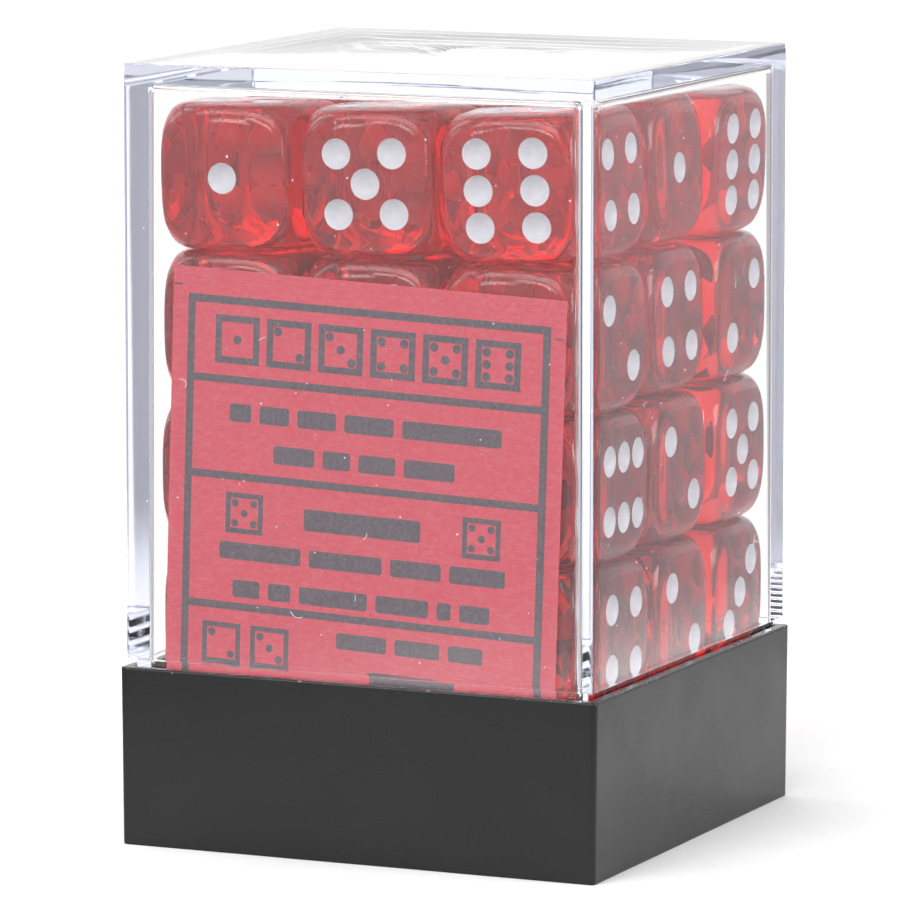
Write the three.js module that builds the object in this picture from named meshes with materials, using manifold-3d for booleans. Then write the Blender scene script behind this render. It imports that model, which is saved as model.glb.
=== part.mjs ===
// A boxed block of thirty-six small playing dice: a black moulded tray, a clear cover that plugs
// into its rim, a printed card against the front wall, and the dice in four layers of three by three.
// Millimetres, +Z up. The origin is the middle of the footprint, on the surface the tray stands on;
// the card faces -Y.

import * as THREE from 'three';
import { ConvexGeometry } from 'three/addons/geometries/ConvexGeometry.js';
import { mergeVertices } from 'three/addons/utils/BufferGeometryUtils.js';
import Module from 'manifold-3d';

// Dice: a nominal 12 mm die comes out of tumbling a little smaller
const dieEdge = 11.9;
const dieCornerReach = 8.65;   // a sphere this far from the centre takes off the eight corners
const dieEdgePower = 12;       // the higher, the sharper the twelve edges
const dieCornerPower = 24;     // how suddenly the edges give way to the corners
const stackGap = 0.04;         // between a die and what it stands on

// Tray
const trayHeight = 14.6;
const trayHalfWidth = 20.9;    // at the rim
const trayFootHalfWidth = 20.78;
const deckTop = 12.55;         // what the dice stand on
const deckThickness = 1.5;
const rimHalfWidth = 20.0;     // inside the rim, where the cover plugs in
const trayHollowHalfWidth = 19.4;
const trayHollowFootHalfWidth = 19.6;
const trayCornerRadius = 0.3;

// Cover
const coverTop = 63.5;
const coverHalfWidth = 20.5;
const coverWall = 1.5;
const coverRoof = 1.7;
const coverShoulder = 15.2;    // the outer wall ends here, just above the rim
const skirtBottom = 12.65;
const skirtHalfWidth = 19.85;
const coverCornerRadius = 0.25;
const cavityFillet = 0.5;      // where the roof meets the walls
const cavityCornerRadius = 0.8;

// Card
const cardWidth = 34.2;
const cardHeight = 33.4;
const cardThickness = 0.35;
const cardCentre = [0, -18.5, 30.0];
const cardRoll = 2.2;          // degrees, its right side lower
const cardLean = 0.8;          // degrees, its top towards the front wall

// Where the dice have settled. Rows run front to back and columns left to right.
const rowY = { front: -11.9, middle: 0.2, back: 12.35 };
// x of the die centres, from the bottom layer to the top one
const columnX = {
  left: {
    front: [-12.5, -12.65, -12.45, -12.6],
    middle: [-12.6, -12.45, -12.6, -12.5],
    back: [-12.3, -12.5, -12.4, -12.4],
  },
  centre: {
    front: [0.1, -0.05, 0.0, -0.1],
    middle: [0.05, 0.15, -0.05, 0.0],
    back: [0.3, 0.2, 0.3, 0.25],
  },
  right: {
    front: [12.55, 12.45, 12.25, 12.1],
    middle: [12.7, 12.55, 12.25, 12.15],
    back: [12.75, 12.9, 12.9, 12.85],
  },
};
// Degrees. Roll lifts the right side, pitch lifts the back, yaw turns to the left seen from above.
const turns = {
  die_top_front_left: { roll: 1.0, pitch: 0, yaw: -0.5 },
  die_top_front_centre: { roll: 2.4, pitch: 0.4, yaw: 0.4 },
  die_top_front_right: { roll: 2.8, pitch: 1.2, yaw: 0.6 },
  die_top_middle_right: { roll: 2.2, pitch: 0.6, yaw: 0.3 },
  die_top_back_right: { roll: -1.4, pitch: 0.5, yaw: -0.4 },
  die_upper_middle_right: { roll: 1.4, pitch: 0.3, yaw: -0.5 },
  die_upper_front_left: { roll: 0, pitch: 0, yaw: 0.7 },
  die_upper_front_right: { roll: 0, pitch: 0, yaw: -0.6 },
  die_upper_back_right: { roll: 0, pitch: 0, yaw: 0.6 },
  die_lower_front_right: { roll: 0, pitch: 0, yaw: 0.5 },
  die_lower_middle_right: { roll: 0, pitch: 0, yaw: -0.4 },
  die_lower_back_right: { roll: 0, pitch: 0, yaw: 0.3 },
  die_bottom_front_right: { roll: 0, pitch: 0, yaw: -0.3 },
  die_bottom_back_right: { roll: 0, pitch: 0, yaw: 0.4 },
  die_top_middle_left: { roll: -0.8, pitch: 0, yaw: 0.6 },
  die_top_back_left: { roll: 0.6, pitch: 0, yaw: -0.6 },
};
const layers = ['bottom', 'lower', 'upper', 'top'];

const clearPolystyrene = {
  color: 0xdfe4ee, roughness: 0.05, metalness: 0, transparent: true, opacity: 0.3,
};
const blackPolystyrene = { color: 0x2c2b2e, roughness: 0.35, metalness: 0 };
const redAcrylic = { color: 0xb5222c, roughness: 0.12, metalness: 0 };
const printedCard = { color: 0xf26d76, roughness: 0.8, metalness: 0 };

const wasm = await Module();
wasm.setup();

function toSolid(geometry) {
  const bare = geometry.clone();
  bare.deleteAttribute('normal');
  bare.deleteAttribute('uv');
  const merged = mergeVertices(bare, 1e-4);
  return new wasm.Manifold(new wasm.Mesh({
    numProp: 3,
    vertProperties: merged.attributes.position.array,
    triVerts: new Uint32Array(merged.index.array),
  }));
}

function toGeometry(solid) {
  const mesh = solid.getMesh();
  const geometry = new THREE.BufferGeometry();
  geometry.setAttribute('position', new THREE.BufferAttribute(mesh.vertProperties, 3));
  geometry.setIndex(new THREE.BufferAttribute(mesh.triVerts, 1));
  geometry.computeVertexNormals();
  return geometry;
}

function roundedSquare(half, radius) {
  const straight = half - radius;
  const outline = new THREE.Shape();
  outline.moveTo(half, -straight);
  outline.lineTo(half, straight);
  outline.absarc(straight, straight, radius, 0, Math.PI / 2);
  outline.lineTo(-straight, half);
  outline.absarc(-straight, straight, radius, Math.PI / 2, Math.PI);
  outline.lineTo(-half, -straight);
  outline.absarc(-straight, -straight, radius, Math.PI, 1.5 * Math.PI);
  outline.lineTo(straight, -half);
  outline.absarc(straight, -straight, radius, 1.5 * Math.PI, 2 * Math.PI);
  return outline;
}

// An upright square block with rounded corners, from bottom to top. Its half width tapers
// evenly from footHalf to topHalf, and a fillet rounds its two ends inside that width.
function block({ bottom, top, topHalf, footHalf = topHalf, radius, fillet = 0 }) {
  const geometry = new THREE.ExtrudeGeometry(roundedSquare(topHalf, radius), {
    depth: top - bottom - 2 * fillet,
    curveSegments: 3,
    bevelEnabled: fillet > 0,
    bevelThickness: fillet,
    bevelSize: fillet,
    bevelOffset: -fillet,
    bevelSegments: 3,
  });
  geometry.translate(0, 0, bottom + fillet);
  const corner = geometry.attributes.position;
  for (let i = 0; i < corner.count; i += 1) {
    const rise = (corner.getZ(i) - bottom) / (top - bottom);
    const scale = THREE.MathUtils.lerp(footHalf / topHalf, 1, rise);
    corner.setXY(i, corner.getX(i) * scale, corner.getY(i) * scale);
  }
  return geometry;
}

// The tray is an upside-down shell: a deck with a low rim round it, on four walls
function trayGeometry() {
  const through = 1;
  const body = toSolid(block({
    bottom: 0, top: trayHeight, topHalf: trayHalfWidth,
    footHalf: trayFootHalfWidth, radius: trayCornerRadius,
  }));
  const recess = toSolid(block({
    bottom: deckTop, top: trayHeight + through, topHalf: rimHalfWidth, radius: trayCornerRadius,
  }));
  const hollow = toSolid(block({
    bottom: -through, top: deckTop - deckThickness, topHalf: trayHollowHalfWidth,
    footHalf: trayHollowFootHalfWidth, radius: 2 * trayCornerRadius,
  }));
  return toGeometry(body.subtract(recess).subtract(hollow));
}

// The cover is a five-sided box whose foot is thinned from outside to a skirt that fits the rim
function coverGeometry() {
  const joinOverlap = 1;
  const through = 3;
  const walls = toSolid(block({
    bottom: coverShoulder, top: coverTop, topHalf: coverHalfWidth, radius: coverCornerRadius,
  }));
  const skirt = toSolid(block({
    bottom: skirtBottom, top: coverShoulder + joinOverlap,
    topHalf: skirtHalfWidth, radius: coverCornerRadius,
  }));
  const cavity = toSolid(block({
    bottom: skirtBottom - through, top: coverTop - coverRoof, topHalf: coverHalfWidth - coverWall,
    radius: cavityCornerRadius, fillet: cavityFillet,
  }));
  return toGeometry(walls.add(skirt).subtract(cavity));
}

// How far the die's surface is from its centre in one direction
function dieReach(direction) {
  const { x, y, z } = direction;
  const sum = Math.abs(x) ** dieEdgePower + Math.abs(y) ** dieEdgePower + Math.abs(z) ** dieEdgePower;
  const cube = (dieEdge / 2) / sum ** (1 / dieEdgePower);
  return (cube ** -dieCornerPower + dieCornerReach ** -dieCornerPower) ** (-1 / dieCornerPower);
}

// A cube with rounded edges and sphere-cut corners, as the convex hull of points on its surface
function dieGeometry() {
  const across = [-1, -0.86, -0.5, 0.5, 0.86, 1];
  const points = [];
  for (const u of across) {
    for (const v of across) {
      for (const side of [-1, 1]) {
        for (const [x, y, z] of [[side, u, v], [u, side, v], [u, v, side]]) {
          const direction = new THREE.Vector3(x, y, z).normalize();
          points.push(direction.clone().multiplyScalar(dieReach(direction)));
        }
      }
    }
  }
  const hull = new ConvexGeometry(points);
  hull.deleteAttribute('normal');
  return mergeVertices(hull, 1e-4);
}

function piece(name, geometry, finish) {
  const mesh = new THREE.Mesh(geometry, new THREE.MeshStandardMaterial(finish));
  mesh.name = name;
  return mesh;
}

function labelCard() {
  const card = piece('label_card', new THREE.BoxGeometry(cardWidth, cardThickness, cardHeight), printedCard);
  card.position.set(...cardCentre);
  card.rotation.set(THREE.MathUtils.degToRad(cardLean), THREE.MathUtils.degToRad(cardRoll), 0);
  return card;
}

// One column of dice, each standing on the highest point of the one below
function addColumn(group, shape, row, column) {
  let floor = deckTop + stackGap;
  layers.forEach((layer, level) => {
    const name = `die_${layer}_${row}_${column}`;
    const { roll = 0, pitch = 0, yaw = 0 } = turns[name] ?? {};
    const die = piece(name, shape, redAcrylic);
    die.rotation.set(...[pitch, -roll, yaw].map(THREE.MathUtils.degToRad));
    die.updateMatrix();
    const reach = new THREE.Box3().setFromBufferAttribute(
      shape.attributes.position.clone().applyMatrix4(die.matrix),
    );
    die.position.set(columnX[column][row][level], rowY[row], floor - reach.min.z);
    floor += reach.max.z - reach.min.z + stackGap;
    group.add(die);
  });
}

const group = new THREE.Group();
group.add(piece('base_tray', trayGeometry(), blackPolystyrene));
group.add(piece('clear_cover', coverGeometry(), clearPolystyrene));
group.add(labelCard());
const dieShape = dieGeometry();
for (const row of Object.keys(rowY)) {
  for (const column of Object.keys(columnX)) {
    addColumn(group, dieShape, row, column);
  }
}

export default group;
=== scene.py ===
import itertools
import math
import random

import bmesh
import bpy
from mathutils import Euler, Matrix, Vector, noise


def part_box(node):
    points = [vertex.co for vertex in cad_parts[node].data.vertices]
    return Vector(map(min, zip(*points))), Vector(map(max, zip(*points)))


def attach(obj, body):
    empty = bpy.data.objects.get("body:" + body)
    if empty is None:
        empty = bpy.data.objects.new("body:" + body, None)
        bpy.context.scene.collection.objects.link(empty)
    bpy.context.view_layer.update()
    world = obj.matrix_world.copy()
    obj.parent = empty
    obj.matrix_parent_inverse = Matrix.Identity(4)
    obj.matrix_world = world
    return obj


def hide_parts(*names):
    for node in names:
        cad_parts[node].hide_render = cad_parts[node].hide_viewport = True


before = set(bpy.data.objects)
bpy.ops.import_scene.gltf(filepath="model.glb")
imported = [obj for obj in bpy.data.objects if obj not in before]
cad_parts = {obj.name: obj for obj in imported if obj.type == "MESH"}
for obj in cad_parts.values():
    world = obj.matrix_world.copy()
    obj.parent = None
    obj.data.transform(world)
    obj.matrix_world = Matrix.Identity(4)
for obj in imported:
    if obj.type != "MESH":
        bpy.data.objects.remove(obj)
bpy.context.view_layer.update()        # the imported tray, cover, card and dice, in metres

mm = 0.001
print("frame loaded:", len(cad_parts), "CAD nodes")


def hexToLinear(code):
    # sRGB hex to the linear values that shaders use
    channels = [int(code[i:i + 2], 16) / 255 for i in (1, 3, 5)]
    return [c / 12.92 if c <= 0.04045 else ((c + 0.055) / 1.055) ** 2.4 for c in channels] + [1]


def addNode(tree, kind, values=None, links=None, **properties):
    # values go on the node's own sockets, links join its sockets to other nodes' outputs
    node = tree.nodes.new("ShaderNode" + kind)
    for name, value in properties.items():
        setattr(node, name, value)
    for name, value in (values or {}).items():
        node.inputs[name].default_value = value
    for name, socket in (links or {}).items():
        tree.links.new(socket, node.inputs[name])
    return node


def newMaterial(name):
    material = bpy.data.materials.new(name)
    material.use_nodes = True
    material.node_tree.nodes.clear()
    return material, material.node_tree


def patternScale(size):
    # a Noise texture's scale for features of this size in metres
    return 1 / size


def rampOf(tree, factor, stops):
    # a colour ramp from a list of (position, colour or grey level)
    ramp = addNode(tree, "ValToRGB", links={"Fac": factor})
    elements = ramp.color_ramp.elements
    while len(elements) < len(stops):
        elements.new(0.5)
    for element, (position, colour) in zip(elements, stops):
        element.position = position
        element.color = colour if isinstance(colour, list) else [colour] * 3 + [1]
    return ramp.outputs["Color"]


blackPlastic = {
    "colour": "#0b0a0c",
    "wornColour": "#8d8b90",
    "roughness": 0.25,
    "ior": 1.40,              # polystyrene's is 1.59, but its satin skin mirrors less than that
    "wornFrom": 0.55 * mm,    # how far below the rim the scuffs start
    "grain": 0.35 * mm,
    "sheenPatches": 7 * mm,
    "flecks": 0.32 * mm,
}


def mouldedBlackPolystyrene(top):
    # High-impact polystyrene from a smooth mould: near black with a soft shine, slightly
    # uneven where it sank while cooling, and pale scuffs where the cover has rubbed the rim
    material, tree = newMaterial("moulded_black_polystyrene")
    place = addNode(tree, "TexCoord").outputs["Object"]
    grain = addNode(tree, "TexNoise", {"Scale": patternScale(blackPlastic["grain"]), "Detail": 3},
                    {"Vector": place})
    patches = addNode(tree, "TexNoise", {"Scale": patternScale(blackPlastic["sheenPatches"]), "Detail": 2},
                      {"Vector": place})
    flecks = addNode(tree, "TexNoise", {"Scale": patternScale(blackPlastic["flecks"]), "Detail": 4,
                                        "Roughness": 0.65}, {"Vector": place})
    height = addNode(tree, "SeparateXYZ", links={"Vector": place}).outputs["Z"]
    nearRim = addNode(tree, "MapRange", {"From Min": top - blackPlastic["wornFrom"], "From Max": top,
                                         "To Min": 0.0, "To Max": 0.17}, {"Value": height})
    raised = addNode(tree, "Math", links={0: flecks.outputs["Fac"], 1: nearRim.outputs["Result"]},
                     operation="ADD")
    worn = rampOf(tree, raised.outputs[0], [(0.79, 0.0), (0.85, 1.0)])
    base = addNode(tree, "Mix", {"A": hexToLinear(blackPlastic["colour"]),
                                 "B": hexToLinear(blackPlastic["wornColour"])},
                   {"Factor": worn}, data_type="RGBA")
    rough = addNode(tree, "MapRange", {"From Min": 0.3, "From Max": 0.7,
                                       "To Min": blackPlastic["roughness"] - 0.05,
                                       "To Max": blackPlastic["roughness"] + 0.07},
                    {"Value": patches.outputs["Fac"]})
    bump = addNode(tree, "Bump", {"Strength": 0.05, "Distance": 0.02 * mm}, {"Height": grain.outputs["Fac"]})
    sink = addNode(tree, "Bump", {"Strength": 0.25, "Distance": 0.10 * mm},
                   {"Height": patches.outputs["Fac"], "Normal": bump.outputs["Normal"]})
    shader = addNode(tree, "BsdfPrincipled", {"IOR": blackPlastic["ior"]},
                     {"Base Color": base.outputs["Result"], "Roughness": rough.outputs["Result"],
                      "Normal": sink.outputs["Normal"]})
    addNode(tree, "OutputMaterial", links={"Surface": shader.outputs["BSDF"]})
    return material


clearPlastic = {
    "ior": 1.59,
    "roughness": 0.012,
    "tint": "#b9c6ea",        # what is left of white after a long way along a wall
    "absorption": 11.0,       # per metre
    "ripple": 9 * mm,
    "shadow": "#f4f5fa",
}


def mouldedClearPolystyrene():
    # Crystal polystyrene from a polished mould: clear as glass across a wall, faintly blue
    # along it, with a slow ripple in what it mirrors
    material, tree = newMaterial("moulded_clear_polystyrene")
    place = addNode(tree, "TexCoord").outputs["Object"]
    ripple = addNode(tree, "TexNoise", {"Scale": patternScale(clearPlastic["ripple"]), "Detail": 1},
                     {"Vector": place})
    haze = addNode(tree, "TexNoise", {"Scale": patternScale(2.5 * mm), "Detail": 3}, {"Vector": place})
    rough = addNode(tree, "MapRange", {"From Min": 0.35, "From Max": 0.75,
                                       "To Min": clearPlastic["roughness"],
                                       "To Max": 3 * clearPlastic["roughness"]},
                    {"Value": haze.outputs["Fac"]})
    bump = addNode(tree, "Bump", {"Strength": 0.08, "Distance": 0.06 * mm}, {"Height": ripple.outputs["Fac"]})
    shader = addNode(tree, "BsdfPrincipled",
                     {"Base Color": hexToLinear("#ffffff"), "IOR": clearPlastic["ior"],
                      "Transmission Weight": 1.0},
                     {"Roughness": rough.outputs["Result"], "Normal": bump.outputs["Normal"]})
    shadow = addNode(tree, "BsdfTransparent", {"Color": hexToLinear(clearPlastic["shadow"])})
    rays = addNode(tree, "LightPath")
    surface = addNode(tree, "MixShader", links={0: rays.outputs["Is Shadow Ray"], 1: shader.outputs["BSDF"],
                                                2: shadow.outputs["BSDF"]})
    depth = addNode(tree, "VolumeAbsorption", {"Color": hexToLinear(clearPlastic["tint"]),
                                               "Density": clearPlastic["absorption"]})
    addNode(tree, "OutputMaterial", links={"Surface": surface.outputs["Shader"],
                                           "Volume": depth.outputs["Volume"]})
    return material


redPlastic = {
    "colour": "#ff8f8c",
    "cloudColour": "#ffb0ab",
    "ior": 1.49,
    "roughness": 0.015,
    "clarity": 0.95,          # the rest scatters like dyed, slightly cloudy resin
    "depthColour": "#fc0008",
    "absorption": 340.0,      # per metre
    "cloud": 2.4 * mm,
    "shadow": "#f04a50",
}


def tumbledRedAcrylic():
    # Dyed translucent acrylic, tumbled smooth: glassy and wine red where it is deep, brighter
    # where light comes straight through, and a little cloudy
    material, tree = newMaterial("tumbled_red_acrylic")
    place = addNode(tree, "TexCoord").outputs["Object"]
    cloud = addNode(tree, "TexNoise", {"Scale": patternScale(redPlastic["cloud"]), "Detail": 3,
                                       "Distortion": 0.6}, {"Vector": place})
    colour = rampOf(tree, cloud.outputs["Fac"], [(0.35, hexToLinear(redPlastic["colour"])),
                                                 (0.68, hexToLinear(redPlastic["cloudColour"]))])
    scuff = addNode(tree, "TexNoise", {"Scale": patternScale(0.9 * mm), "Detail": 4}, {"Vector": place})
    rough = addNode(tree, "MapRange", {"From Min": 0.4, "From Max": 0.75, "To Min": redPlastic["roughness"],
                                       "To Max": redPlastic["roughness"] + 0.03},
                    {"Value": scuff.outputs["Fac"]})
    bump = addNode(tree, "Bump", {"Strength": 0.06, "Distance": 0.05 * mm}, {"Height": cloud.outputs["Fac"]})
    shader = addNode(tree, "BsdfPrincipled", {"IOR": redPlastic["ior"],
                                              "Transmission Weight": redPlastic["clarity"]},
                     {"Base Color": colour, "Roughness": rough.outputs["Result"],
                      "Normal": bump.outputs["Normal"]})
    shadow = addNode(tree, "BsdfTransparent", {"Color": hexToLinear(redPlastic["shadow"])})
    rays = addNode(tree, "LightPath")
    surface = addNode(tree, "MixShader", links={0: rays.outputs["Is Shadow Ray"], 1: shader.outputs["BSDF"],
                                                2: shadow.outputs["BSDF"]})
    depth = addNode(tree, "VolumeAbsorption", {"Color": hexToLinear(redPlastic["depthColour"]),
                                               "Density": redPlastic["absorption"]})
    addNode(tree, "OutputMaterial", links={"Surface": surface.outputs["Shader"],
                                           "Volume": depth.outputs["Volume"]})
    return material


def paintedWhitePips():
    # White lacquer run into the dimples and wiped: bright, with a faint random mottle
    material, tree = newMaterial("painted_white_pips")
    place = addNode(tree, "TexCoord").outputs["Object"]
    mottle = addNode(tree, "TexNoise", {"Scale": patternScale(0.5 * mm), "Detail": 3}, {"Vector": place})
    colour = rampOf(tree, mottle.outputs["Fac"], [(0.3, hexToLinear("#f4eeec")),
                                                  (0.7, hexToLinear("#fdfaf9"))])
    bump = addNode(tree, "Bump", {"Strength": 0.1, "Distance": 0.02 * mm}, {"Height": mottle.outputs["Fac"]})
    shader = addNode(tree, "BsdfPrincipled", {"Roughness": 0.42},
                     {"Base Color": colour, "Normal": bump.outputs["Normal"]})
    addNode(tree, "OutputMaterial", links={"Surface": shader.outputs["BSDF"]})
    return material


card = {
    "colour": "#fa5d69",
    "fibre": "#fd7881",
    "ink": "#5d5155",
    "inkWorn": "#7b6a6e",
    "fibreLength": 0.7 * mm,
    "tooth": 0.12 * mm,
}


def dyedCardStock():
    # Uncoated dyed card: flat and matt, with short paler fibres in the pulp
    material, tree = newMaterial("dyed_card_stock")
    place = addNode(tree, "TexCoord").outputs["Object"]
    pulled = addNode(tree, "Mapping", {"Scale": (1, 1, 2.6)}, {"Vector": place})
    fibre = addNode(tree, "TexNoise", {"Scale": patternScale(card["fibreLength"]), "Detail": 5,
                                       "Distortion": 1.2}, {"Vector": pulled.outputs["Vector"]})
    tooth = addNode(tree, "TexNoise", {"Scale": patternScale(card["tooth"]), "Detail": 2}, {"Vector": place})
    colour = rampOf(tree, fibre.outputs["Fac"], [(0.42, hexToLinear(card["colour"])),
                                                 (0.72, hexToLinear(card["fibre"]))])
    bump = addNode(tree, "Bump", {"Strength": 0.25, "Distance": 0.02 * mm}, {"Height": tooth.outputs["Fac"]})
    shader = addNode(tree, "BsdfPrincipled", {"Roughness": 0.86, "Sheen Weight": 0.08},
                     {"Base Color": colour, "Normal": bump.outputs["Normal"]})
    addNode(tree, "OutputMaterial", links={"Surface": shader.outputs["BSDF"]})
    return material


def screenedGreyInk():
    # One flat grey ink on uncoated card: it soaks in, so the pulp shows through a little
    material, tree = newMaterial("screened_grey_ink")
    place = addNode(tree, "TexCoord").outputs["Object"]
    soak = addNode(tree, "TexNoise", {"Scale": patternScale(0.28 * mm), "Detail": 4}, {"Vector": place})
    colour = rampOf(tree, soak.outputs["Fac"], [(0.40, hexToLinear(card["ink"])),
                                                (0.75, hexToLinear(card["inkWorn"]))])
    shader = addNode(tree, "BsdfPrincipled", {"Roughness": 0.7}, {"Base Color": colour})
    addNode(tree, "OutputMaterial", links={"Surface": shader.outputs["BSDF"]})
    return material


def settledDust():
    # Lint and plastic dust held by static: small white matt specks
    material, tree = newMaterial("settled_dust")
    place = addNode(tree, "TexCoord").outputs["Object"]
    tone = addNode(tree, "TexNoise", {"Scale": patternScale(0.4 * mm)}, {"Vector": place})
    colour = rampOf(tree, tone.outputs["Fac"], [(0.3, hexToLinear("#d9d6d6")), (0.7, hexToLinear("#ffffff"))])
    shader = addNode(tree, "BsdfPrincipled", {"Roughness": 0.9}, {"Base Color": colour})
    addNode(tree, "OutputMaterial", links={"Surface": shader.outputs["BSDF"]})
    return material


def meshObject(name, bm, materials, smoothAngle=30):
    # a new object from a bmesh, smooth except along edges sharper than smoothAngle degrees
    bmesh.ops.recalc_face_normals(bm, faces=bm.faces)
    mesh = bpy.data.meshes.new(name)
    bm.to_mesh(mesh)
    bm.free()
    for material in materials:
        mesh.materials.append(material)
    mesh.polygons.foreach_set("use_smooth", [True] * len(mesh.polygons))
    mesh.set_sharp_from_angle(angle=math.radians(smoothAngle))
    piece = bpy.data.objects.new(name, mesh)
    bpy.context.collection.objects.link(piece)
    return piece


def squareRing(half, corner, z, sideSteps=16, cornerSteps=5, hold=0.15 * mm):
    # points round a square with rounded corners, anticlockwise from above; a pair of points held
    # close to each corner keeps the flats flat
    points = []
    straight = half - corner
    inner = straight - hold
    alongs = [-straight] + [inner * (2 * step / sideSteps - 1) for step in range(sideSteps + 1)]
    for quarter in range(4):
        turn = Matrix.Rotation(quarter * math.pi / 2, 3, "Z")
        points += [turn @ Vector((half, along, z)) for along in alongs]
        for step in range(cornerSteps):
            angle = math.pi / 2 * step / cornerSteps
            points.append(turn @ Vector((straight + corner * math.cos(angle),
                                         straight + corner * math.sin(angle), z)))
    return points


def circleRing(like, radius, z):
    # a ring of the same number of points as a square one, on a circle
    return [Vector((p.x, p.y, 0)).normalized() * radius + Vector((0, 0, z)) for p in like]


def roundedProfile(corners, steps=4):
    # (half width, height, radius) corners to (half width, height) points with rounded turns, and a
    # point held close to each end of a turn
    points = []
    for i, (half, height, radius) in enumerate(corners):
        here = Vector((half, height))
        if radius == 0 or i in (0, len(corners) - 1):
            points.append(here)
            continue
        back = (Vector(corners[i - 1][:2]) - here).normalized() * radius
        ahead = (Vector(corners[i + 1][:2]) - here).normalized() * radius
        points.append(here + back * 1.7)
        for step in range(steps + 1):
            t = step / steps
            points.append(here + back * (1 - t) ** 2 + ahead * t ** 2)
        points.append(here + ahead * 1.7)
    return points


def loft(rings):
    # quads between rings of equal length, and a face over each end
    bm = bmesh.new()
    rows = [[bm.verts.new(p) for p in ring] for ring in rings]
    for low, high in zip(rows, rows[1:]):
        for i in range(len(low)):
            j = (i + 1) % len(low)
            bm.faces.new((low[i], low[j], high[j], high[i]))
    bm.faces.new(rows[0])
    bm.faces.new(rows[-1])
    return bm


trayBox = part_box("base_tray")
tray = {
    "half": (trayBox[1].x - trayBox[0].x) / 2,
    "footHalf": 20.78 * mm,
    "top": trayBox[1].z,
    "deck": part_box("die_bottom_front_left")[0].z - 0.04 * mm,
    "deckThickness": 1.5 * mm,
    "rimHalf": 20.0 * mm,
    "hollowHalf": 19.4 * mm,
    "hollowFootHalf": 19.6 * mm,
    "corner": 0.45 * mm,
    "edge": 0.14 * mm,
    "waviness": 0.022 * mm,
    "wavelength": 9 * mm,
    "wallSteps": 9,
    "capInset": 2 * mm,       # from a wall to where the one flat face of the deck starts
}


def makeTray(material):
    wall = [(tray["footHalf"] + (tray["half"] - tray["footHalf"]) * k / tray["wallSteps"],
             tray["top"] * k / tray["wallSteps"], 0) for k in range(1, tray["wallSteps"])]
    under = tray["deck"] - tray["deckThickness"]
    edge = tray["edge"]
    profile = roundedProfile([
        (tray["hollowHalf"] - tray["capInset"], under, 0),
        (tray["hollowHalf"], under, 3 * edge),
        (tray["hollowFootHalf"], 0, edge),
        (tray["footHalf"], 0, edge), *wall,
        (tray["half"], tray["top"], edge),
        (tray["rimHalf"], tray["top"], edge),
        (tray["rimHalf"], tray["deck"], 2 * edge),
        (tray["rimHalf"] - tray["capInset"], tray["deck"], 0),
    ])
    rings = []
    for half, height in profile:
        corner = max(tray["corner"] - (tray["half"] - half), 0.25 * mm)
        ring = squareRing(half, corner, height, sideSteps=24)
        if half > tray["footHalf"] - 0.5 * mm:
            # moulded walls are never quite flat, and the lower edge least of all
            ring = [p * (1 + tray["waviness"] / tray["half"] * (noise.noise(p / tray["wavelength"]) - 0.35)
                         * (1.6 - height / tray["top"])) if p.z > 0 else p for p in ring]
        rings.append([Vector((p.x, p.y, height)) for p in ring])
    piece = meshObject("tray_moulding", loft(rings), [material], smoothAngle=50)
    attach(piece, "tray")
    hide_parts("base_tray")
    return piece


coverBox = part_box("clear_cover")
cover = {
    "half": (coverBox[1].x - coverBox[0].x) / 2,
    "top": coverBox[1].z,
    "skirtFoot": coverBox[0].z,
    "wall": 1.5 * mm,
    "roof": 1.7 * mm,
    "shoulder": 15.2 * mm,
    "skirtHalf": 19.85 * mm,
    "corner": 0.22 * mm,
    "cavityCorner": 0.8 * mm,
    "cavityFillet": 0.5 * mm,
    "edge": 0.13 * mm,
    "draft": 0.10 * mm,       # how much closer the inner walls stand at the roof than at the foot
    "sinkRing": 16.3 * mm,    # radius of the shallow round in the roof
    "gateMark": 3.4 * mm,     # radius of the mark where the plastic went in
    "sinkDepth": 0.035 * mm,
}


def makeCover(material):
    inside = cover["half"] - cover["wall"]
    ceiling = cover["top"] - cover["roof"]
    edge = cover["edge"]
    profile = roundedProfile([
        (inside - 2 * mm, ceiling, 0),
        (inside - cover["draft"], ceiling, cover["cavityFillet"]),
        (inside, cover["skirtFoot"], edge),
        (cover["skirtHalf"], cover["skirtFoot"], edge),
        (cover["skirtHalf"], cover["shoulder"], 0),
        (cover["half"], cover["shoulder"], edge),
        (cover["half"] - cover["draft"] / 2, cover["top"], 0.7 * edge),
        (cover["half"] - 0.5 * mm, cover["top"], 0),
    ])
    rings = []
    for half, height in profile:
        outer = half > inside + 0.1 * mm
        corner = max(cover["corner"] - (cover["half"] - half), 0.08 * mm) if outer else cover["cavityCorner"]
        rings.append(squareRing(half, corner, height, sideSteps=16, cornerSteps=4))
    # the roof's underside is a little hollow
    rings.insert(0, circleRing(rings[0], 2 * mm, ceiling + cover["draft"]))
    # and its top ends in a shallow round with a gate mark in the middle
    shape, top, depth = rings[-1], cover["top"], cover["sinkDepth"]
    for radius, drop in ((cover["sinkRing"] + 0.35 * mm, 0), (cover["sinkRing"], depth),
                         (cover["sinkRing"] * 0.6, 1.2 * depth), (cover["gateMark"] + 0.3 * mm, depth),
                         (cover["gateMark"], 3 * depth), (cover["gateMark"] * 0.5, 3.6 * depth),
                         (cover["gateMark"] * 0.1, 2.2 * depth)):
        rings.append(circleRing(shape, radius, top - drop))
    piece = meshObject("cover_moulding", loft(rings), [material], smoothAngle=35)
    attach(piece, "cover")
    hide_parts("clear_cover")
    return piece


dust = {
    "seed": 11,
    "specks": 130,
    "fibres": 12,
    "smallest": 0.03 * mm,
    "largest": 0.09 * mm,
}


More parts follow.
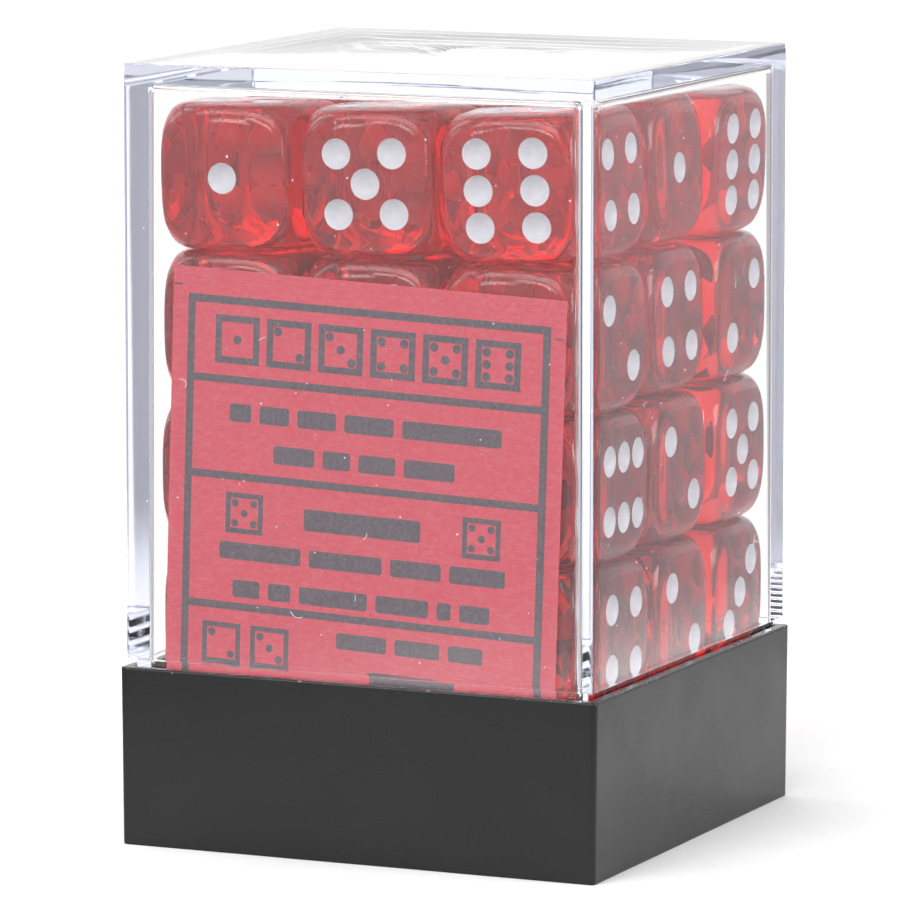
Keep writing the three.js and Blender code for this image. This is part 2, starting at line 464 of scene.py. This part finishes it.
def makeCoverDust(material):
    # specks and short fibres lying on the front and right walls
    draw = random.Random(dust["seed"])
    bm = bmesh.new()
    skin = cover["half"] + 0.01 * mm
    walls = [(Vector((1, 0, 0)), Vector((0, 0, 1)), Vector((0, -skin, 0))),
             (Vector((0, 1, 0)), Vector((0, 0, 1)), Vector((skin, 0, 0)))]
    for _ in range(dust["specks"]):
        across, up, out = draw.choice(walls)
        size = draw.uniform(dust["smallest"], dust["largest"])
        centre = out + across * draw.uniform(-0.92, 0.92) * cover["half"] \
            + up * draw.uniform(cover["shoulder"] + mm, cover["top"] - mm)
        tumbled = Euler([draw.uniform(0, 3) for _ in range(3)]).to_matrix().to_4x4()
        shift = Matrix.Translation(centre) @ tumbled
        made = bmesh.ops.create_icosphere(bm, subdivisions=1, radius=size, matrix=shift)
        for vertex in made["verts"]:
            vertex.co = centre + (vertex.co - centre) * draw.uniform(0.6, 1.3)
            vertex.co -= out.normalized() * (vertex.co - centre).dot(out.normalized()) * 0.75
    for _ in range(dust["fibres"]):
        across, up, out = draw.choice(walls)
        start = out + across * draw.uniform(-0.85, 0.85) * cover["half"] \
            + up * draw.uniform(cover["shoulder"] + 4 * mm, cover["top"] - 4 * mm)
        heading, bend = draw.uniform(0, 2 * math.pi), draw.uniform(-0.5, 0.5)
        width, step = 0.022 * mm, 0.18 * mm
        side = out.normalized() * width
        last = None
        for _ in range(draw.randint(4, 9)):
            along = across * math.cos(heading) + up * math.sin(heading)
            flank = out.normalized().cross(along) * width
            section = [bm.verts.new(start + offset) for offset in (flank, side, -flank, -side * 0.2)]
            if last:
                for i in range(4):
                    bm.faces.new((last[i], last[(i + 1) % 4], section[(i + 1) % 4], section[i]))
            else:
                bm.faces.new(section)
            last = section
            start = start + along * step
            heading += bend + draw.uniform(-0.25, 0.25)
        bm.faces.new(last)
    piece = meshObject("cover_dust", bm, [material], smoothAngle=60)
    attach(piece, "cover")
    return piece


cardSheet = {
    "width": 34.2 * mm,
    "height": 33.4 * mm,
    "thickness": 0.35 * mm,
    "roll": 2.2,              # degrees, its right side lower
    "lean": 0.8,              # degrees, its top towards the front wall
    "bow": 0.05 * mm,
    "steps": 14,              # squares across and up the sheet's mesh
    "inkThickness": 0.012 * mm,
}


def cardPlace():
    low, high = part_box("label_card")
    turn = Euler((math.radians(cardSheet["lean"]), math.radians(cardSheet["roll"]), 0), "ZYX")
    return Matrix.Translation((low + high) / 2) @ turn.to_matrix().to_4x4()


def cardBow(x, z):
    # how far the sheet stands forward of its plane, most in the middle
    across, up = 2 * x / cardSheet["width"], 2 * z / cardSheet["height"]
    return cardSheet["bow"] * (1 - across ** 2) * (1 - up ** 2)


def makeCard(material):
    bm = bmesh.new()
    steps = cardSheet["steps"]
    width, height, thick = cardSheet["width"], cardSheet["height"], cardSheet["thickness"]
    soft = 0.06 * mm
    sheets = {}
    for side in (-1, 1):
        for i in range(steps + 1):
            for j in range(steps + 1):
                x, z = width * (i / steps - 0.5), height * (j / steps - 0.5)
                border = i in (0, steps) or j in (0, steps)
                y = side * (thick / 2 - (soft if border else 0)) - cardBow(x, z)
                sheets[side, i, j] = bm.verts.new((x, y, z))
    for side in (-1, 1):
        for i in range(steps):
            for j in range(steps):
                bm.faces.new([sheets[side, i + a, j + b] for a, b in ((0, 0), (1, 0), (1, 1), (0, 1))])
    rim = [(i, 0) for i in range(steps)] + [(steps, j) for j in range(steps)] \
        + [(i, steps) for i in range(steps, 0, -1)] + [(0, j) for j in range(steps, 0, -1)]
    for here, there in zip(rim, rim[1:] + rim[:1]):
        bm.faces.new((sheets[-1, *here], sheets[-1, *there], sheets[1, *there], sheets[1, *here]))
    bm.transform(cardPlace())
    piece = meshObject("card_sheet", bm, [material], smoothAngle=40)
    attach(piece, "card")
    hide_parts("label_card")
    return piece


# Everything below is on the card's face: x to the right and z up from its middle, in millimetres
cardPrint = {
    "frameLeft": -15.7,
    "frameRight": 15.9,
    "frameTop": 14.6,
    "rules": (7.6, -0.2, -10.8),   # the lines across
    "line": 0.62,
    "wordGap": 0.75,
}


def bar(shapes, left, right, low, high):
    shapes.append([(left, low), (right, low), (right, high), (left, high)])


def roundedBar(shapes, left, right, low, high, radius=0.3):
    outline = []
    for cx, cz, first in ((right - radius, high - radius, 0), (left + radius, high - radius, 90),
                          (left + radius, low + radius, 180), (right - radius, low + radius, 270)):
        for step in range(5):
            angle = math.radians(first + 22.5 * step)
            outline.append((cx + radius * math.cos(angle), cz + radius * math.sin(angle)))
    shapes.append(outline)


def words(shapes, centre, low, height, lengths):
    # a line of print stood in for by one solid bar for each word
    total = sum(lengths) + cardPrint["wordGap"] * (len(lengths) - 1)
    left = centre - total / 2
    for length in lengths:
        roundedBar(shapes, left, left + length, low, low + height, radius=0.24)
        left += length + cardPrint["wordGap"]


def dieIcon(shapes, x, z, size, spots, line=0.42):
    # the outline of a die face with its spots
    half = size / 2
    bar(shapes, x - half, x + half, z + half - line, z + half)
    bar(shapes, x - half, x + half, z - half, z - half + line)
    bar(shapes, x - half, x - half + line, z - half + line, z + half - line)
    bar(shapes, x + half - line, x + half, z - half + line, z + half - line)
    for a, b in spotLayouts[spots]:
        outline = [(x + size * 0.25 * a + size * 0.095 * math.cos(math.radians(30 * k)),
                    z + size * 0.25 * b + size * 0.095 * math.sin(math.radians(30 * k))) for k in range(12)]
        shapes.append(outline)


# where the spots of each number lie, on a grid of -1, 0 and 1
spotLayouts = {
    1: [(0, 0)],
    2: [(-1, 1), (1, -1)],
    3: [(-1, 1), (0, 0), (1, -1)],
    4: [(-1, -1), (-1, 1), (1, -1), (1, 1)],
    5: [(-1, -1), (-1, 1), (0, 0), (1, -1), (1, 1)],
    6: [(-1, -1), (-1, 0), (-1, 1), (1, -1), (1, 0), (1, 1)],
}


def cardShapes():
    shapes = []
    left, right, top = cardPrint["frameLeft"], cardPrint["frameRight"], cardPrint["frameTop"]
    line, foot = cardPrint["line"], -cardSheet["height"] / mm / 2 + 0.05
    bar(shapes, left, right, top - line, top)
    bar(shapes, left, left + line, foot, top - line)
    bar(shapes, right - line, right, foot, top - line)
    for rule in cardPrint["rules"]:
        bar(shapes, left + line, right - line, rule, rule + line)
    middle = (left + right) / 2
    # title: the six faces of a die
    for spots in range(1, 7):
        dieIcon(shapes, middle + (spots - 3.5) * 4.55, 11.15, 3.9, spots, line=0.55)
    words(shapes, middle, 4.55, 1.45, [1.9, 2.6, 3.4, 4.3, 8.6])
    words(shapes, middle, 1.45, 1.45, [3.6, 2.4, 3.2, 4.4])
    # notice cell: a die face at each side of a word, with two lines under it
    dieIcon(shapes, middle - 10.4, -2.85, 3.3, 5)
    dieIcon(shapes, middle + 10.4, -2.85, 3.3, 5)
    words(shapes, middle, -3.7, 1.75, [10.2])
    words(shapes, middle, -6.65, 1.4, [7.2, 6.4, 4.4, 4.8])
    words(shapes, middle, -9.7, 1.4, [2.4, 2.0, 6.0, 4.6, 1.2, 2.6])
    # foot cell: two icons and two lines
    dieIcon(shapes, left + 3.6, -13.6, 3.4, 2)
    dieIcon(shapes, left + 7.9, -13.6, 3.4, 3)
    words(shapes, middle + 4.4, -13.0, 1.3, [4.4, 3.9, 3.0])
    words(shapes, middle + 4.6, -15.9, 1.3, [7.4])
    # trimming ticks
    bar(shapes, -17.0, -16.3, 15.2, 15.35)
    bar(shapes, 16.3, 17.0, 13.6, 13.75)
    return shapes


def makeCardPrint(material):
    bm = bmesh.new()
    front = -cardSheet["thickness"] / 2
    for outline in cardShapes():
        rows = [[bm.verts.new((x * mm, depth, z * mm)) for x, z in outline]
                for depth in (front - cardSheet["inkThickness"], front + 0.02 * mm)]
        for row in rows:
            bm.faces.new(row)
        for i in range(len(outline)):
            j = (i + 1) % len(outline)
            bm.faces.new((rows[0][i], rows[0][j], rows[1][j], rows[1][i]))
    # cut along the sheet's own grid, so that long lines bend with it
    for size, across in ((cardSheet["width"], Vector((1, 0, 0))), (cardSheet["height"], Vector((0, 0, 1)))):
        for step in range(1, cardSheet["steps"]):
            cut = across * size * (step / cardSheet["steps"] - 0.5)
            bmesh.ops.bisect_plane(bm, geom=bm.verts[:] + bm.edges[:] + bm.faces[:], dist=1e-7,
                                   plane_co=cut, plane_no=across)
    for vertex in bm.verts:
        vertex.co.y -= cardBow(vertex.co.x, vertex.co.z)
    bm.transform(cardPlace())
    piece = meshObject("card_print", bm, [material], smoothAngle=20)
    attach(piece, "card")
    return piece


die = {
    "edge": 11.9 * mm,
    "cornerReach": 8.65 * mm,      # a sphere this far out takes off the corners
    "edgePower": 12,
    "cornerPower": 24,
    "steps": 18,
    "pipRadius": 1.26 * mm,
    "pipDepth": 0.42 * mm,
    "pipSpread": 2.42 * mm,        # from the middle of a face to a corner pip, along each edge
    "sixSpread": 2.95 * mm,        # between neighbours in a row of three
    "pipSegments": 28,
    "pipRings": 5,
}

# the face each number is on, with two directions along that face
faceAxes = {
    1: ((0, 0, 1), (1, 0, 0), (0, 1, 0)),
    6: ((0, 0, -1), (1, 0, 0), (0, 1, 0)),
    2: ((0, -1, 0), (1, 0, 0), (0, 0, 1)),
    5: ((0, 1, 0), (1, 0, 0), (0, 0, 1)),
    3: ((1, 0, 0), (0, 1, 0), (0, 0, 1)),
    4: ((-1, 0, 0), (0, 1, 0), (0, 0, 1)),
}


def dieReach(direction):
    # how far the surface is from the middle in one direction
    total = sum(abs(c) ** die["edgePower"] for c in direction)
    cube = die["edge"] / 2 / total ** (1 / die["edgePower"])
    power = die["cornerPower"]
    return (cube ** -power + die["cornerReach"] ** -power) ** (-1 / power)


def dieNormal(p):
    # which way the undimpled surface faces at a point on it
    n, k = die["edgePower"], die["cornerPower"]
    half, reach = die["edge"] / 2, die["cornerReach"]
    total = sum(abs(c / half) ** n for c in p)
    size = total ** (1 / n)
    along = Vector([math.copysign(abs(c / half) ** (n - 1), c) for c in p]) * (size ** (k - n) / half)
    return (along + p * ((p.length / reach) ** (k - 1) / (reach * p.length))).normalized()


def pipCentres():
    # (middle of the pip on its face, outward direction) of all twenty-one
    found = []
    for number, (normal, across, up) in faceAxes.items():
        for a, b in spotLayouts[number]:
            along = die["sixSpread"] if number == 6 else die["pipSpread"]
            spot = Vector(across) * die["pipSpread"] * a + Vector(up) * along * b
            found.append((Vector(normal) * die["edge"] / 2 + spot, Vector(normal)))
    return found


def dieBody():
    # a cube's grid pushed out to the die's surface, closer spaced towards the edges
    bm = bmesh.new()
    steps = die["steps"]
    evenly = [2 * i / steps - 1 for i in range(steps + 1)]
    spread = [0.35 * t + 0.65 * math.sin(t * math.pi / 2) for t in evenly]
    seen = {}
    def corner(cell):
        if cell not in seen:
            direction = Vector([spread[c] for c in cell]).normalized()
            seen[cell] = bm.verts.new(direction * dieReach(direction))
        return seen[cell]
    for axis, end in itertools.product(range(3), (0, steps)):
        for i, j in itertools.product(range(steps), repeat=2):
            cells = []
            for a, b in ((i, j), (i + 1, j), (i + 1, j + 1), (i, j + 1)):
                cell = [a, b]
                cell.insert(axis, end)
                cells.append(corner(tuple(cell)))
            bm.faces.new(cells)
    return bm


def pipCutter():
    # one closed lens for each pip: a ball's cap below the face and a lid above it
    bm = bmesh.new()
    radius, depth = die["pipRadius"], die["pipDepth"]
    ball = (radius ** 2 + depth ** 2) / (2 * depth)
    widest = math.asin(radius / ball) * 1.12
    for centre, normal in pipCentres():
        turn = normal.to_track_quat("Z", "Y").to_matrix()
        middle = centre + normal * (ball - depth)
        rows = []
        for ring in range(1, die["pipRings"] + 1):
            angle = widest * ring / die["pipRings"]
            rows.append([bm.verts.new(middle + turn @ Vector((
                ball * math.sin(angle) * math.cos(2 * math.pi * s / die["pipSegments"]),
                ball * math.sin(angle) * math.sin(2 * math.pi * s / die["pipSegments"]),
                -ball * math.cos(angle)))) for s in range(die["pipSegments"])])
        foot = bm.verts.new(centre - normal * depth)
        for s in range(die["pipSegments"]):
            t = (s + 1) % die["pipSegments"]
            bm.faces.new((foot, rows[0][t], rows[0][s]))
            for low, high in zip(rows, rows[1:]):
                bm.faces.new((low[s], low[t], high[t], high[s]))
        bm.faces.new(rows[-1])
    return bm


def dieMesh(bodyMaterial, pipMaterial):
    body = meshObject("die_blank", dieBody(), [bodyMaterial, pipMaterial])
    cutter = meshObject("pip_cutter", pipCutter(), [pipMaterial])
    cut = body.modifiers.new("dimples", "BOOLEAN")
    cut.object, cut.operation, cut.solver = cutter, "DIFFERENCE", "EXACT"
    dg = bpy.context.evaluated_depsgraph_get()
    mesh = bpy.data.meshes.new_from_object(body.evaluated_get(dg))
    mesh.name = "pipped_die"
    for spare in (body, cutter):
        bpy.data.objects.remove(spare)
    radius, depth = die["pipRadius"], die["pipDepth"]
    ball = (radius ** 2 + depth ** 2) / (2 * depth)
    balls = [centre + normal * (ball - depth) for centre, normal in pipCentres()]
    bm = bmesh.new()
    bm.from_mesh(mesh)
    bmesh.ops.triangulate(bm, faces=[f for f in bm.faces if len(f.verts) > 4])
    bm.to_mesh(mesh)
    bm.free()
    mesh.materials.clear()
    for material in (bodyMaterial, pipMaterial):
        mesh.materials.append(material)
    mesh.polygons.foreach_set("use_smooth", [True] * len(mesh.polygons))
    normals = [None] * len(mesh.loops)
    for face in mesh.polygons:
        nearest = min(balls, key=lambda b: (b - face.center).length)
        dimple = all(abs((mesh.vertices[v].co - nearest).length - ball) < 0.02 * mm for v in face.vertices)
        face.material_index = 1 if dimple else 0
        for loop in face.loop_indices:
            p = mesh.vertices[mesh.loops[loop].vertex_index].co
            normals[loop] = (nearest - p).normalized() if dimple else dieNormal(p)
    mesh.normals_split_custom_set(normals)
    return mesh


# Degrees, as the CAD dice are turned: roll lifts the right side, pitch the back, yaw turns left
turns = {
    "die_top_front_left": (1.0, 0, -0.5),
    "die_top_front_centre": (2.4, 0.4, 0.4),
    "die_top_front_right": (2.8, 1.2, 0.6),
    "die_top_middle_right": (2.2, 0.6, 0.3),
    "die_top_back_right": (-1.4, 0.5, -0.4),
    "die_upper_middle_right": (1.4, 0.3, -0.5),
    "die_upper_front_left": (0, 0, 0.7),
    "die_upper_front_right": (0, 0, -0.6),
    "die_upper_back_right": (0, 0, 0.6),
    "die_lower_front_right": (0, 0, 0.5),
    "die_lower_middle_right": (0, 0, -0.4),
    "die_lower_back_right": (0, 0, 0.3),
    "die_bottom_front_right": (0, 0, -0.3),
    "die_bottom_back_right": (0, 0, 0.4),
    "die_top_middle_left": (-0.8, 0, 0.6),
    "die_top_back_left": (0.6, 0, -0.6),
}
# the numbers that show, and which way a pattern lies where that matters
shown = {
    "die_top_front_left": {"front": (1,), "top": (4,)},
    "die_top_front_centre": {"front": (5,)},
    "die_top_front_right": {"front": (6, "upright"), "right": (4,)},
    "die_top_middle_right": {"right": (1,)},
    "die_top_back_right": {"right": (6, "upright")},
    "die_upper_front_right": {"right": (2, "falling")},
    "die_upper_middle_right": {"right": (4,)},
    "die_upper_back_right": {"right": (2, "rising")},
    "die_lower_front_right": {"right": (6, "level")},
    "die_lower_middle_right": {"right": (2, "falling")},
    "die_lower_back_right": {"right": (5,)},
    "die_bottom_front_right": {"right": (4,)},
    "die_bottom_middle_right": {"right": (2, "falling")},
    "die_bottom_back_right": {"right": (3, "rising")},
}
sides = {
    "front": (Vector((0, -1, 0)), Vector((1, 0, 0))),
    "right": (Vector((1, 0, 0)), Vector((0, 1, 0))),
    "top": (Vector((0, 0, 1)), Vector((1, 0, 0))),
}


def quarterTurns():
    # the twenty-four ways a cube can stand
    found = []
    for order in itertools.permutations(range(3)):
        for signs in itertools.product((1, -1), repeat=3):
            rows = [[signs[r] if order[r] == c else 0 for c in range(3)] for r in range(3)]
            turn = Matrix(rows)
            if turn.determinant() > 0:
                found.append(turn)
    return found


def shows(turn, side, number, pattern=None):
    # whether a turned die has this number on this side, and lying this way
    outward, across = sides[side]
    normal, *along = faceAxes[number]
    if (turn @ Vector(normal) - outward).length > 0.1:
        return False
    if pattern is None:
        return True
    spots = [turn @ (Vector(along[0]) * a + Vector(along[1]) * b) for a, b in spotLayouts[number]]
    flat = [(round(s.dot(across)), round(s.z)) for s in spots]
    columns = len({a for a, _ in flat})
    if pattern in ("upright", "level"):
        return columns == (2 if pattern == "upright" else 3)
    slope = sum(a * b for a, b in flat)
    return slope < 0 if pattern == "falling" else slope > 0


def makeDice(bodyMaterial, pipMaterial):
    draw = random.Random(5)
    mesh = dieMesh(bodyMaterial, pipMaterial)
    stands = quarterTurns()
    for node in sorted(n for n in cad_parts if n.startswith("die_")):
        wanted = shown.get(node, {})
        fitting = [s for s in stands if all(shows(s, side, *want) for side, want in wanted.items())]
        roll, pitch, yaw = [math.radians(a) for a in turns.get(node, (0, 0, 0))]
        low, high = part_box(node)
        settled = Euler((pitch, -roll, yaw), "ZYX").to_matrix() @ draw.choice(fitting)
        piece = bpy.data.objects.new(node + "_moulding", mesh)
        piece.matrix_world = Matrix.Translation((low + high) / 2) @ settled.to_4x4()
        bpy.context.collection.objects.link(piece)
        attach(piece, node)
        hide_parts(node)
    return mesh


studio = {
    "azimuth": 24.08,
    "elevation": 8.02,
    "distance": 566.75 * mm,
    "target": Vector((-0.51, 0, 30.38)) * mm,
    "lens": 273.1,            # millimetres, on a 36 mm wide sensor
    "floor": "#f8f8f8",
    # painted shade: the grey the floor turns outside the white lane
    "floorPaintedShade": "#97979b",
    "lane": (0.055, 0.115),   # metres either side, where the white starts to fade and where it ends
    "laneSpread": 0.068,      # how much wider it grows for each metre away
    "laneFront": (0.055, 0.13),    # metres in front, fading in the same way
    "room": 0.46,
    "wall": 1.30,
    # softboxes: name, azimuth, elevation, half width and half height (degrees), radiance
    "lights": [
        ("front_low", -26, 5.5, 1.6, 3.0, 18.0),
        ("front_high", -13, 15, 11, 4.2, 22.0),
        ("front_right", 33, 4, 3, 8, 15.0),
        ("front_fill", -10, 42, 24, 16, 3.9),
        ("overhead", 20, 72, 17, 17, 0.5),
        ("right_side", 95, 14, 17, 12, 11.0),
        ("left_side", -80, 35, 17, 17, 2.7),
    ],
}


def makeCamera():
    azimuth, elevation = math.radians(studio["azimuth"]), math.radians(studio["elevation"])
    back = Vector((math.sin(azimuth) * math.cos(elevation), -math.cos(azimuth) * math.cos(elevation),
                   math.sin(elevation)))
    camera = bpy.data.objects.new("camera", bpy.data.cameras.new("camera"))
    camera.data.lens = studio["lens"]
    camera.data.sensor_width = 36
    camera.data.clip_start, camera.data.clip_end = 0.05, 20
    camera.location = studio["target"] + back * studio["distance"]
    camera.rotation_euler = (-back).to_track_quat("-Z", "Y").to_euler()
    bpy.context.collection.objects.link(camera)
    bpy.context.scene.camera = camera
    return camera


def lookTowards(azimuth, elevation):
    # a direction from the object: azimuth 0 is in front of it, and goes round to its right
    a, e = math.radians(azimuth), math.radians(elevation)
    return Vector((math.sin(a) * math.cos(e), -math.cos(a) * math.cos(e), math.sin(e)))


def softbox(tree, direction, azimuth, elevation, halfWidth, halfHeight, radiance):
    # how much a soft-edged rectangle of light far away adds in each direction
    centre = lookTowards(azimuth, elevation)
    right = Vector((0, 0, 1)).cross(-centre).normalized()
    level = addNode(tree, "Value").outputs[0]
    level.default_value = radiance
    for axis, half in ((right, halfWidth), (centre.cross(-right), halfHeight), (centre, None)):
        along = addNode(tree, "VectorMath", {1: axis}, {0: direction},
                        operation="DOT_PRODUCT").outputs["Value"]
        if half is None:
            inside = addNode(tree, "Math", {1: 0.0}, {0: along}, operation="GREATER_THAN").outputs[0]
        else:
            away = addNode(tree, "Math", links={0: along}, operation="ABSOLUTE").outputs[0]
            edge = math.sin(math.radians(half))
            inside = addNode(tree, "MapRange", {"From Min": edge * 1.06, "From Max": edge * 0.94},
                             {"Value": away}).outputs["Result"]
        level = addNode(tree, "Math", links={0: level, 1: inside}, operation="MULTIPLY").outputs[0]
    return level


def paperFloor():
    # White paper sweep, left white in a broad lane running away behind the object and just in front of it,
    # with painted shade turning it grey outside that
    bm = bmesh.new()
    bmesh.ops.create_grid(bm, x_segments=8, y_segments=8, size=4)
    material, tree = newMaterial("white_paper_sweep_painted_shade")
    place = addNode(tree, "TexCoord").outputs["Object"]
    turned = addNode(tree, "Mapping", {"Rotation": (0, 0, math.radians(-studio["azimuth"]))},
                     {"Vector": place})
    across = addNode(tree, "SeparateXYZ", links={"Vector": turned.outputs["Vector"]})
    sideways = addNode(tree, "Math", links={0: across.outputs["X"]}, operation="ABSOLUTE")
    beside = addNode(tree, "Math", {1: -studio["laneSpread"]},
                     {0: across.outputs["Y"], 2: sideways.outputs[0]}, operation="MULTIPLY_ADD")
    lane = addNode(tree, "MapRange", {"From Min": studio["lane"][0], "From Max": studio["lane"][1]},
                   {"Value": beside.outputs[0]}, interpolation_type="SMOOTHSTEP")
    near = addNode(tree, "MapRange", {"From Min": -studio["laneFront"][0],
                                      "From Max": -studio["laneFront"][1]},
                   {"Value": across.outputs["Y"]}, interpolation_type="SMOOTHSTEP")
    # where the painted shade falls: beside the lane or far in front
    away = addNode(tree, "Math", links={0: lane.outputs["Result"], 1: near.outputs["Result"]},
                   operation="MAXIMUM")
    tooth = addNode(tree, "TexNoise", {"Scale": 60, "Detail": 3}, {"Vector": place})
    paper = rampOf(tree, tooth.outputs["Fac"], [(0.3, hexToLinear(studio["floor"])),
                                                (0.7, hexToLinear("#ffffff"))])
    # painted shade mixed into the paper's colour outside the lane
    colour = addNode(tree, "Mix", {"B": hexToLinear(studio["floorPaintedShade"])},
                     {"Factor": away.outputs[0], "A": paper}, data_type="RGBA")
    shader = addNode(tree, "BsdfPrincipled", {"Roughness": 0.75}, {"Base Color": colour.outputs["Result"]})
    addNode(tree, "OutputMaterial", links={"Surface": shader.outputs["BSDF"]})
    floor = meshObject("floor", bm, [material])


def makeStudio():
    paperFloor()
    world = bpy.data.worlds.new("studio")
    bpy.context.scene.world = world
    world.use_nodes = True
    tree = world.node_tree
    tree.nodes.clear()
    direction = addNode(tree, "TexCoord").outputs["Generated"]
    facing = addNode(tree, "VectorMath", {1: -lookTowards(studio["azimuth"], 0)},
                     {0: direction}, operation="DOT_PRODUCT")
    # the wall behind the object is lit, and the rest of the room is dimmer
    shade = addNode(tree, "MapRange", {"From Min": 0.35, "From Max": 0.85,
                                       "To Min": studio["room"], "To Max": studio["wall"]},
                    {"Value": facing.outputs["Value"]}, interpolation_type="SMOOTHSTEP")
    total = shade.outputs["Result"]
    for _, *box in studio["lights"]:
        total = addNode(tree, "Math", links={0: total, 1: softbox(tree, direction, *box)},
                        operation="ADD").outputs[0]
    sky = addNode(tree, "Background", {"Color": hexToLinear("#ffffff")}, {"Strength": total})
    addNode(tree, "OutputWorld", links={"Surface": sky.outputs["Background"]})

    scene = bpy.context.scene
    scene.view_settings.view_transform = "Standard"
    scene.view_settings.exposure = 0.0
    scene.cycles.use_denoising = True
    scene.cycles.max_bounces = 32
    scene.cycles.transmission_bounces = 28
    scene.cycles.transparent_max_bounces = 24
    scene.cycles.glossy_bounces = 24
    scene.cycles.diffuse_bounces = 3
    scene.cycles.sample_clamp_indirect = 6.0
    scene.cycles.caustics_reflective = False
    scene.cycles.caustics_refractive = False


makeCamera()
makeStudio()
print("camera, lights and floor made")

makeTray(mouldedBlackPolystyrene(tray["top"]))
print("tray made")
makeCover(mouldedClearPolystyrene())
makeCoverDust(settledDust())
print("cover made")
makeCard(dyedCardStock())
makeCardPrint(screenedGreyInk())
print("card made")
dieFaces = makeDice(tumbledRedAcrylic(), paintedWhitePips())
print("dice made:", len(dieFaces.polygons), "faces each")
